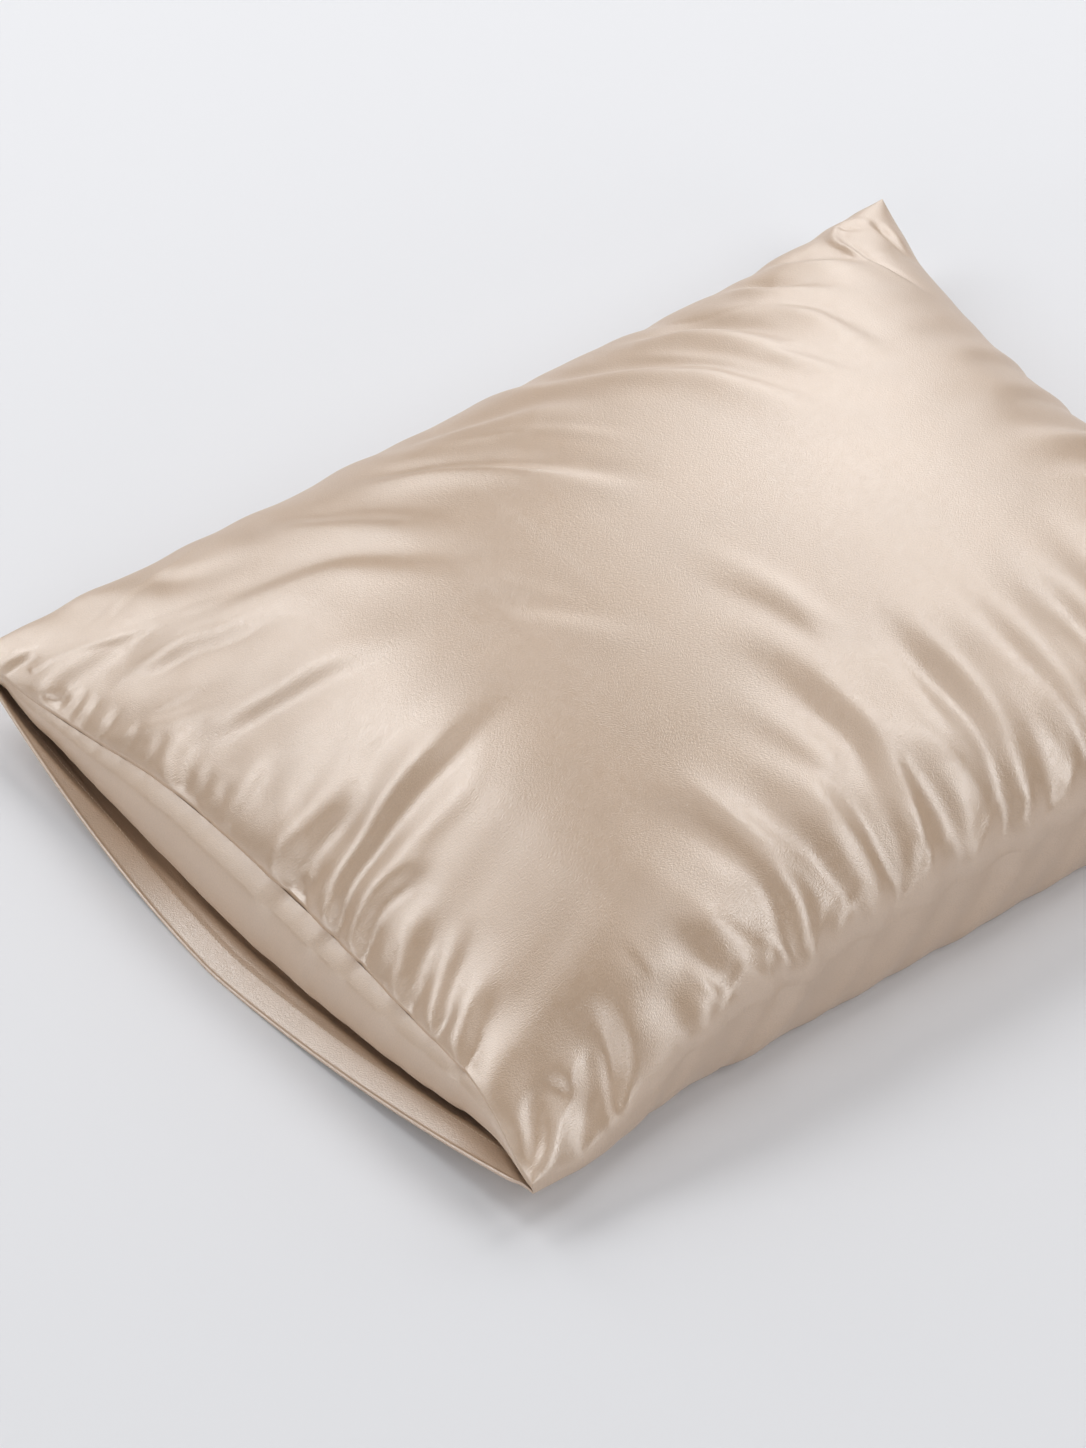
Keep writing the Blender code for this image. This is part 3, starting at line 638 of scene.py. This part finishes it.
def add_fold(relief, points, path, width, height, lean):
    """Adds one fold to the relief of a grid of points. It starts wide and narrows to its end."""
    knots = np.array(path)
    knots = np.vstack([knots[0] + (knots[0] - knots[1]) * FOLD_BEGINS, knots])
    steps = np.concatenate([[0.0], np.cumsum(np.linalg.norm(np.diff(knots, axis=0), axis=1))])
    places = np.linspace(0.0, 1.0, FOLD_SAMPLES)
    line = np.clip(through(steps / steps[-1], knots, places), -1, 1)
    spine = top_surface(line[:, 0], line[:, 1])
    reach = FOLD_REACH * width * FOLD_WIDTHS[0]
    close = np.all((points > spine.min(axis=0) - reach) & (points < spine.max(axis=0) + reach), axis=-1)
    spots = points[close]
    away = np.full(len(spots), np.inf)
    along = np.zeros(len(spots))
    side = np.zeros(len(spots))
    for step in range(FOLD_SAMPLES - 1):
        start = spine[step]
        span = spine[step + 1] - start
        t = np.clip((spots - start) @ span / (span @ span), 0, 1)
        off = spots - start - t[:, None] * span
        distance = np.linalg.norm(off, axis=-1)
        nearer = distance < away
        away[nearer] = distance[nearer]
        along[nearer] = (step + t[nearer]) / (FOLD_SAMPLES - 1)
        left = np.array([-span[1], span[0], 0.0]) / math.hypot(span[0], span[1])
        side[nearer] = off[nearer] @ left
    wide = width * (FOLD_WIDTHS[0] + (FOLD_WIDTHS[1] - FOLD_WIDTHS[0]) * along)
    away = np.minimum(away / wide, FOLD_REACH)
    swell = smooth_step(along / FOLD_OPENS)
    if np.abs(line[-1]).max() < FOLD_ENDS_AT_SEAM:
        swell *= smooth_step((1 - along) / FOLD_FADES)
    middle = height * (1 - FOLD_FLANK * away ** 2) * np.exp(-away ** 2)
    sweep = np.exp(-(away / FOLD_SWEEP) ** 2) * (1 - (away / FOLD_REACH) ** 2)
    flanks = lean * LEAN_PEAK * np.tanh(FOLD_STEEP * side / wide) / FOLD_STEEP * sweep
    relief[close] += swell * (middle + flanks)


def towards_sides(u, v, blend):
    """1 beside the case and 0 at its two ends, blended over the diagonals."""
    return smooth_step((np.abs(v) - np.abs(u)) / blend + 0.5)


def lumps(u, v):
    """The filling's broad unevenness."""
    height = np.zeros_like(u)
    for along, across, shift, rise in LUMPS:
        height += rise * np.sin(along * u + shift) * np.cos(across * v - shift)
    return height


def ripples(u, v):
    """Shallow waves that run from the crown out to the seams."""
    x, y = plan(u, v)
    slope = np.maximum(np.abs(u), np.abs(v))
    swell = smooth_step((slope - RIPPLES_START) / (RIPPLES_FULL - RIPPLES_START))
    beside = towards_sides(u, v, RIPPLES_BLEND)
    slant_beside, slant_at_ends = RIPPLES_SLANTS
    height = np.zeros_like(u)
    for length, shift, rise in RIPPLES:
        turn = 2 * math.pi / length
        along_sides = beside * np.sin(turn * (x + slant_beside * y) + shift)
        along_ends = RIPPLES_AT_ENDS * (1 - beside) * np.sin(turn * (y - slant_at_ends * x) + 2 * shift)
        height += rise * (along_sides + along_ends)
    return height * swell


def over_seam(path):
    """Carries a near fold straight on to the seam, if it comes close to it."""
    last = np.array(path[-1])
    step = last - np.array(path[-2])
    if not NEAR_SEAM < last[1] < NEAR_FOLDS_REACH:
        return path
    return path + (tuple(last + step * (-1 - last[1]) / step[1]),)


def fold_relief(u, v):
    """How far the folds, puckers and ripples raise the top, all over it."""
    points = top_surface(u, v)
    relief = lumps(u, v) * smooth_step(fullness(u, v) / LUMPS_RIM) + ripples(u, v)
    for path, width, height, lean in NEAR_FOLDS:
        add_fold(relief, points, over_seam(path), width, height, lean)
    for place, slant in NEAR_CREASES:
        path = [(place - slant * along, across) for along, across in CREASE_PATH]
        add_fold(relief, points, path, *CREASE_SHAPE)
    for fold in FAR_FOLDS + MOUTH_FOLDS + CLOSED_FOLDS + CORNER_FOLDS:
        add_fold(relief, points, *fold)
    for place in MOUTH_PUCKERS:
        path = [(along, place + across) for along, across in PUCKER_PATH]
        add_fold(relief, points, path, *PUCKER_SHAPE)
    inside = smooth_step(fullness(u, v) / FOLD_RIM)
    beside = towards_sides(u, v, RIM_BLEND)
    at_rim = (FOLD_AT_RIM[0] + (FOLD_AT_RIM[1] - FOLD_AT_RIM[0]) * beside) * (1 - cornerness(u, v))
    return relief * (at_rim + (1 - at_rim) * inside)


def wall_relief(relief, u, v):
    """How the folds carry on below the seams, fading out down the side walls."""
    from_end = (1 - np.abs(u)) * LENGTH / 2
    from_side = (1 - np.abs(v)) * WIDTH / 2
    share = (from_end ** 2 + TINY) / (from_end ** 2 + from_side ** 2 + 2 * TINY)
    lift = under_lift(u, v)
    swept = u + WALL_SWEEP * (1 - lift)
    near = np.interp(swept, u[:, 0], relief[:, 0])
    far = np.interp(swept, u[:, 0], relief[:, -1])
    beside = np.where(v < 0, near, far)
    closed = np.where(u < 0, 0.0, relief[-1:, :])
    mouth = np.where(u < 0, relief[:1, :], 0.0)
    fade = lift ** WALL_FADE
    return fade * (share * beside + (1 - share) * closed), lift * (1 - share) * mouth


def cloth_length(points, axis):
    """Distance along the cloth from the first line of a grid, in metres."""
    steps = np.linalg.norm(np.diff(points, axis=axis), axis=-1)
    first = np.zeros_like(np.take(steps, [0], axis=axis))
    return np.cumsum(np.concatenate([first, steps], axis=axis), axis=axis)


def edge_depth(u, v):
    """How much further down the top's turned edge reaches at the corners, over the layers there."""
    layers = np.where(u > -1, LAYER + TIP_CLEARANCE * (u < 0), LAYER - CLOTH / 2)
    return layers * cornerness(u, v)


def add_grid(bm, points):
    """Faces through an array of points, with their place on the flat cloth as UVs, in metres."""
    columns = points.shape[0] - 1
    rows = points.shape[1] - 1
    along = cloth_length(points, 0)
    across = cloth_length(points, 1)
    made = bmesh.ops.create_grid(bm, x_segments=columns, y_segments=rows, size=1.0)["verts"]
    flat = bm.loops.layers.uv.active
    into_case = bm.verts.layers.float_vector["into_case"]
    for vert in made:
        column = round((vert.co.x + 1) / 2 * columns)
        row = round((vert.co.y + 1) / 2 * rows)
        for loop in vert.link_loops:
            loop[flat].uv = (along[column, row], across[column, row])
        vert[into_case] = ((column == 0) - (column == columns), (row == 0) - (row == rows),
                           -DEEPER[column, row])
        vert.co = points[column, row]
    return made


def each_once(items):
    """A list without its repeats. It keeps its order, so that each run makes the same mesh."""
    return list(dict.fromkeys(items))


def edges_of_rim(verts):
    """The open edges between some vertices."""
    inside = set(verts)
    return each_once(edge for vert in verts for edge in vert.link_edges
                     if edge.is_boundary and all(end in inside for end in edge.verts))


def merge_level_faces(bm, verts):
    """Makes one face of all that lies level inside the case, where the cloth rests on the surface."""
    level_from = FILLED_LOW.x + LEVEL_FROM
    level = each_once(face for vert in verts for face in vert.link_faces
                      if abs(face.normal.z) > LEVEL and face.calc_center_median().x > level_from)
    bmesh.ops.dissolve_faces(bm, faces=level, use_verts=True)


def turn_edge_down(bm, rim):
    """Carries a rim down, a little way in, and up again inside, as a turned seam edge."""
    into_case = bm.verts.layers.float_vector["into_case"]
    for turn, (inwards, up) in enumerate(EDGE_TURNS):
        grown = bmesh.ops.extrude_edge_only(bm, edges=rim)["geom"]
        ring = [item for item in grown if isinstance(item, bmesh.types.BMVert)]
        for vert in ring:
            way = vert[into_case]
            deeper = way.z if turn == 0 else 0.0
            vert.co += Vector((way.x * inwards, way.y * inwards, up + deeper))
        rim = edges_of_rim(ring)
    return rim


def solid_between(name, upper, lower, turned=False):
    """One closed body between two grids of points, which are joined round their rims."""
    bm = bmesh.new()
    bm.loops.layers.uv.new("cloth")
    bm.verts.layers.float_vector.new("into_case")
    top = add_grid(bm, upper)
    bottom = add_grid(bm, lower)
    bmesh.ops.reverse_faces(bm, faces=each_once(face for vert in bottom for face in vert.link_faces))
    top_rim = edges_of_rim(top)
    if turned:
        top_rim = turn_edge_down(bm, top_rim)
    bmesh.ops.bridge_loops(bm, edges=top_rim + edges_of_rim(bottom))
    bmesh.ops.recalc_face_normals(bm, faces=bm.faces)
    if bm.calc_volume(signed=True) < 0:
        bmesh.ops.reverse_faces(bm, faces=bm.faces)
    merge_level_faces(bm, bottom)
    if not turned:
        merge_level_faces(bm, top)
    bm.verts.layers.float_vector.remove(bm.verts.layers.float_vector["into_case"])
    mesh = bpy.data.meshes.new(name)
    bm.to_mesh(mesh)
    bm.free()
    mesh.shade_smooth()
    mesh.set_sharp_from_angle(angle=EDGE_ANGLE)
    obj = bpy.data.objects.new(name, mesh)
    bpy.context.scene.collection.objects.link(obj)
    return obj


def below_seam(points, sewn_end):
    """Drops a sheet's two sides and its sewn end a little, to stay clear of the seam above."""
    points = points.copy()
    points[:, 0, 2] -= RIM_DROP
    points[:, -1, 2] -= RIM_DROP
    points[sewn_end, 1:-1, 2] -= RIM_DROP
    return points


def satin(name, colour, roughness):
    """Champagne satin: a soft, broad shine over a warm cloth, with a fine woven grain."""
    material = bpy.data.materials.new(name)
    material.use_nodes = True
    nodes = material.node_tree.nodes
    links = material.node_tree.links
    shader = nodes["Principled BSDF"]
    shader.inputs["Metallic"].default_value = 0.0
    shader.inputs["IOR"].default_value = SATIN_IOR
    shader.inputs["Specular IOR Level"].default_value = SATIN_GLOSS
    shader.inputs["Sheen Weight"].default_value = SATIN_SHEEN
    shader.inputs["Sheen Roughness"].default_value = SHEEN_ROUGHNESS
    cloth = nodes.new("ShaderNodeUVMap")
    cloth.uv_map = "cloth"

    def noise(along, across, detail):
        stretch = nodes.new("ShaderNodeMapping")
        stretch.inputs["Scale"].default_value = (1 / along, 1 / across, 1.0)
        links.new(cloth.outputs["UV"], stretch.inputs["Vector"])
        texture = nodes.new("ShaderNodeTexNoise")
        texture.inputs["Scale"].default_value = 1.0
        texture.inputs["Detail"].default_value = detail
        links.new(stretch.outputs["Vector"], texture.inputs["Vector"])
        return texture.outputs["Fac"]

    def ramp(source, low, high):
        scale = nodes.new("ShaderNodeMapRange")
        scale.inputs["From Min"].default_value = NOISE_SPAN[0]
        scale.inputs["From Max"].default_value = NOISE_SPAN[1]
        scale.inputs["To Min"].default_value = low
        scale.inputs["To Max"].default_value = high
        links.new(source, scale.inputs["Value"])
        return scale.outputs["Result"]

    def bumped(height, distance, below=None):
        bump = nodes.new("ShaderNodeBump")
        bump.inputs["Strength"].default_value = GRAIN_STRENGTH
        bump.inputs["Distance"].default_value = distance
        links.new(height, bump.inputs["Height"])
        if below:
            links.new(below, bump.inputs["Normal"])
        return bump.outputs["Normal"]

    warp = noise(WARP_FLOAT, THREAD, FINE_DETAIL)
    weft = noise(THREAD, WEFT_FLOAT, FINE_DETAIL)
    crepe = noise(CREPE, CREPE, BROAD_DETAIL)
    patches = noise(PATCH, PATCH, BROAD_DETAIL)

    threads = nodes.new("ShaderNodeMath")
    threads.operation = "ADD"
    links.new(ramp(warp, 0.0, WARP_SHARE), threads.inputs[0])
    links.new(ramp(weft, 0.0, WEFT_SHARE), threads.inputs[1])

    tone = nodes.new("ShaderNodeMath")
    tone.operation = "MULTIPLY"
    links.new(ramp(patches, 1 - PATCH_TONE, 1 + PATCH_TONE), tone.inputs[0])
    grain = nodes.new("ShaderNodeMapRange")
    grain.inputs["To Min"].default_value = 1 - GRAIN_TONE
    grain.inputs["To Max"].default_value = 1 + GRAIN_TONE
    links.new(threads.outputs["Value"], grain.inputs["Value"])
    links.new(grain.outputs["Result"], tone.inputs[1])
    shade = nodes.new("ShaderNodeVectorMath")
    shade.operation = "SCALE"
    shade.inputs[0].default_value = colour
    links.new(tone.outputs["Value"], shade.inputs["Scale"])
    links.new(shade.outputs["Vector"], shader.inputs["Base Color"])

    rough = ramp(crepe, roughness - ROUGHNESS_SWING, roughness + ROUGHNESS_SWING)
    links.new(rough, shader.inputs["Roughness"])
    creased = bumped(crepe, CREPE_DEPTH)
    links.new(bumped(threads.outputs["Value"], THREAD_DEPTH, creased), shader.inputs["Normal"])
    return material


def make_front():
    """The filled top, down to the filling's own underside."""
    top = top_surface(U, V)
    top = top + inward(top, U, V) * RELIEF[..., None]
    under = under_surface(U, V)
    belly = under + inward(under, U, V) * belly_depth(U)[..., None]
    front = solid_between("satin_front", top, belly, turned=True)
    front.data.materials.append(satin("front_satin", SATIN, FRONT_ROUGHNESS))
    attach(front, "root")
    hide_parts("front_panel")


def make_flap():
    """The sheet across the mouth, tucked in under the filling."""
    last = int(np.searchsorted(U[:, 0], FLAP_ENDS))
    under = under_surface(U, V)
    normal = inward(under, U, V)
    outer = (under + normal * flap_depth(U)[..., None])[:last]
    inner = outer + normal[:last] * CLOTH
    flap = solid_between("satin_flap", below_seam(inner, MOUTH_END), below_seam(outer, MOUTH_END))
    flap.data.materials.append(satin("flap_satin", SATIN, FLAP_ROUGHNESS))
    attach(flap, "root")
    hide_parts("envelope_flap")


def make_back():
    """The sheet under it all, with its lip, hem and stitches."""
    outer = back_surface(U, V)
    hem = smooth_step((outer[0, :, 0] + HEM - outer[..., 0]) / HEM_STEP)
    from_edge = outer[..., 0] - outer[0, :, 0]
    bead = HEM_BEAD * np.exp(-((from_edge - HEM_BEAD_WIDTH) / HEM_BEAD_WIDTH) ** 2)
    thick = CLOTH + (HEM_CLOTH - CLOTH + bead) * hem
    inner = outer + inward(outer, U, V) * thick[..., None]
    outer = outer[:, ::BACK_ROWS]
    inner = inner[:, ::BACK_ROWS]
    back = solid_between("satin_back", below_seam(inner, CLOSED_END), below_seam(outer, CLOSED_END))
    # Its satin is the darker copy: painted shade for the lip under the wall.
    back.data.materials.append(satin("back_satin", SHADED_BACK_SATIN, BACK_ROUGHNESS))
    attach(back, "root")
    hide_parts("back_panel")
    stitches = make_stitches(below_seam(inner, CLOSED_END))


def make_stitches(face):
    """The row of stitches that holds the lip's hem, lying on its inner face."""
    from_edge = cloth_length(face, 0)
    line = np.array([[np.interp(STITCH_LINE, from_edge[:, row], face[:, row, axis]) for axis in range(3)]
                     for row in range(face.shape[1])])
    places = np.concatenate([[0.0], np.cumsum(np.linalg.norm(np.diff(line, axis=0), axis=1))])
    count = int((places[-1] - 2 * STITCH_ENDS) / STITCH_PITCH)
    bm = bmesh.new()
    for number in range(count):
        ends = STITCH_ENDS + (number + np.array([0.0, STITCH_SHARE])) * STITCH_PITCH
        start, end = (Vector([np.interp(at, places, line[:, axis]) for axis in range(3)]) for at in ends)
        size = Vector(((end - start).length, STITCH_THICK, STITCH_THICK))
        turn = (end - start).to_track_quat("X", "Z")
        bmesh.ops.create_icosphere(bm, subdivisions=2, radius=0.5,
                                   matrix=Matrix.LocRotScale((start + end) / 2, turn, size))
    mesh = bpy.data.meshes.new("hem_stitches")
    bm.to_mesh(mesh)
    bm.free()
    mesh.shade_smooth()
    stitches = bpy.data.objects.new("hem_stitches", mesh)
    bpy.context.scene.collection.objects.link(stitches)
    stitches.data.materials.append(thread())
    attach(stitches, "root")
    return stitches


def thread():
    """Twisted sewing thread, a little paler than the cloth."""
    material = bpy.data.materials.new("hem_thread")
    material.use_nodes = True
    nodes = material.node_tree.nodes
    links = material.node_tree.links
    shader = nodes["Principled BSDF"]
    shader.inputs["Sheen Weight"].default_value = THREAD_SHEEN
    shader.inputs["Roughness"].default_value = THREAD_ROUGHNESS
    place = nodes.new("ShaderNodeTexCoord")
    twist = nodes.new("ShaderNodeTexNoise")
    twist.inputs["Scale"].default_value = TWIST_SCALE
    links.new(place.outputs["Object"], twist.inputs["Vector"])
    shade = nodes.new("ShaderNodeMix")
    shade.data_type = "RGBA"
    shade.inputs["A"].default_value = THREAD_DARK
    shade.inputs["B"].default_value = THREAD_PALE
    links.new(twist.outputs["Fac"], shade.inputs["Factor"])
    links.new(shade.outputs["Result"], shader.inputs["Base Color"])
    bump = nodes.new("ShaderNodeBump")
    bump.inputs["Strength"].default_value = TWIST_STRENGTH
    bump.inputs["Distance"].default_value = THREAD_DEPTH
    links.new(twist.outputs["Fac"], bump.inputs["Height"])
    links.new(bump.outputs["Normal"], shader.inputs["Normal"])
    return material


def add_lamp(name, turn, rise, size, power):
    """A soft round lamp that faces the case, at an angle round from +Y towards +X and up."""
    towards = Vector((math.sin(turn) * math.cos(rise), math.cos(turn) * math.cos(rise), math.sin(rise)))
    data = bpy.data.lights.new(name, "AREA")
    data.shape = "DISK"
    data.size = size
    data.energy = power
    lamp = bpy.data.objects.new(name, data)
    lamp.location = towards * LAMP_DISTANCE
    lamp.rotation_mode = "QUATERNION"
    lamp.rotation_quaternion = (-towards).to_track_quat("-Z", "Y")
    bpy.context.scene.collection.objects.link(lamp)


def make_stage():
    """A plain pale floor, soft lamps all round and above, and the photo's camera."""
    bm = bmesh.new()
    bmesh.ops.create_grid(bm, x_segments=1, y_segments=1, size=FLOOR_HALF)
    mesh = bpy.data.meshes.new("floor")
    bm.to_mesh(mesh)
    bm.free()
    floor = bpy.data.objects.new("floor", mesh)
    material = bpy.data.materials.new("floor_paint")
    material.use_nodes = True
    shader = material.node_tree.nodes["Principled BSDF"]
    shader.inputs["Base Color"].default_value = FLOOR_COLOUR
    shader.inputs["Roughness"].default_value = FLOOR_ROUGHNESS
    shader.inputs["Specular IOR Level"].default_value = FLOOR_GLOSS
    floor.data.materials.append(material)
    bpy.context.scene.collection.objects.link(floor)

    world = bpy.data.worlds.new("studio")
    world.use_nodes = True
    background = world.node_tree.nodes["Background"]
    background.inputs["Color"].default_value = (1.0, 1.0, 1.0, 1.0)
    background.inputs["Strength"].default_value = WORLD_LIGHT
    bpy.context.scene.world = world
    for name, turn, rise, size, power in LAMPS:
        add_lamp(name, math.radians(turn), math.radians(rise), size, power)

    data = bpy.data.cameras.new("camera")
    data.sensor_width = CAMERA_FILM
    data.lens = CAMERA_LENS
    camera = bpy.data.objects.new("camera", data)
    back = Vector((math.sin(CAMERA_AZIMUTH) * math.cos(CAMERA_ELEVATION),
                   -math.cos(CAMERA_AZIMUTH) * math.cos(CAMERA_ELEVATION),
                   math.sin(CAMERA_ELEVATION)))
    camera.location = CAMERA_TARGET + back * CAMERA_DISTANCE
    camera.rotation_mode = "QUATERNION"
    camera.rotation_quaternion = (-back).to_track_quat("-Z", "Y")
    bpy.context.scene.collection.objects.link(camera)
    bpy.context.scene.camera = camera
    bpy.context.scene.view_settings.view_transform = "Standard"


U, V = np.meshgrid(crowded(COLUMNS), crowded(ROWS), indexing="ij")
RELIEF = fold_relief(U, V)
WALL_RELIEF, MOUTH_RELIEF = wall_relief(RELIEF, U, V)
DEEPER = edge_depth(U, V)

make_stage()
make_back()
make_flap()
make_front()
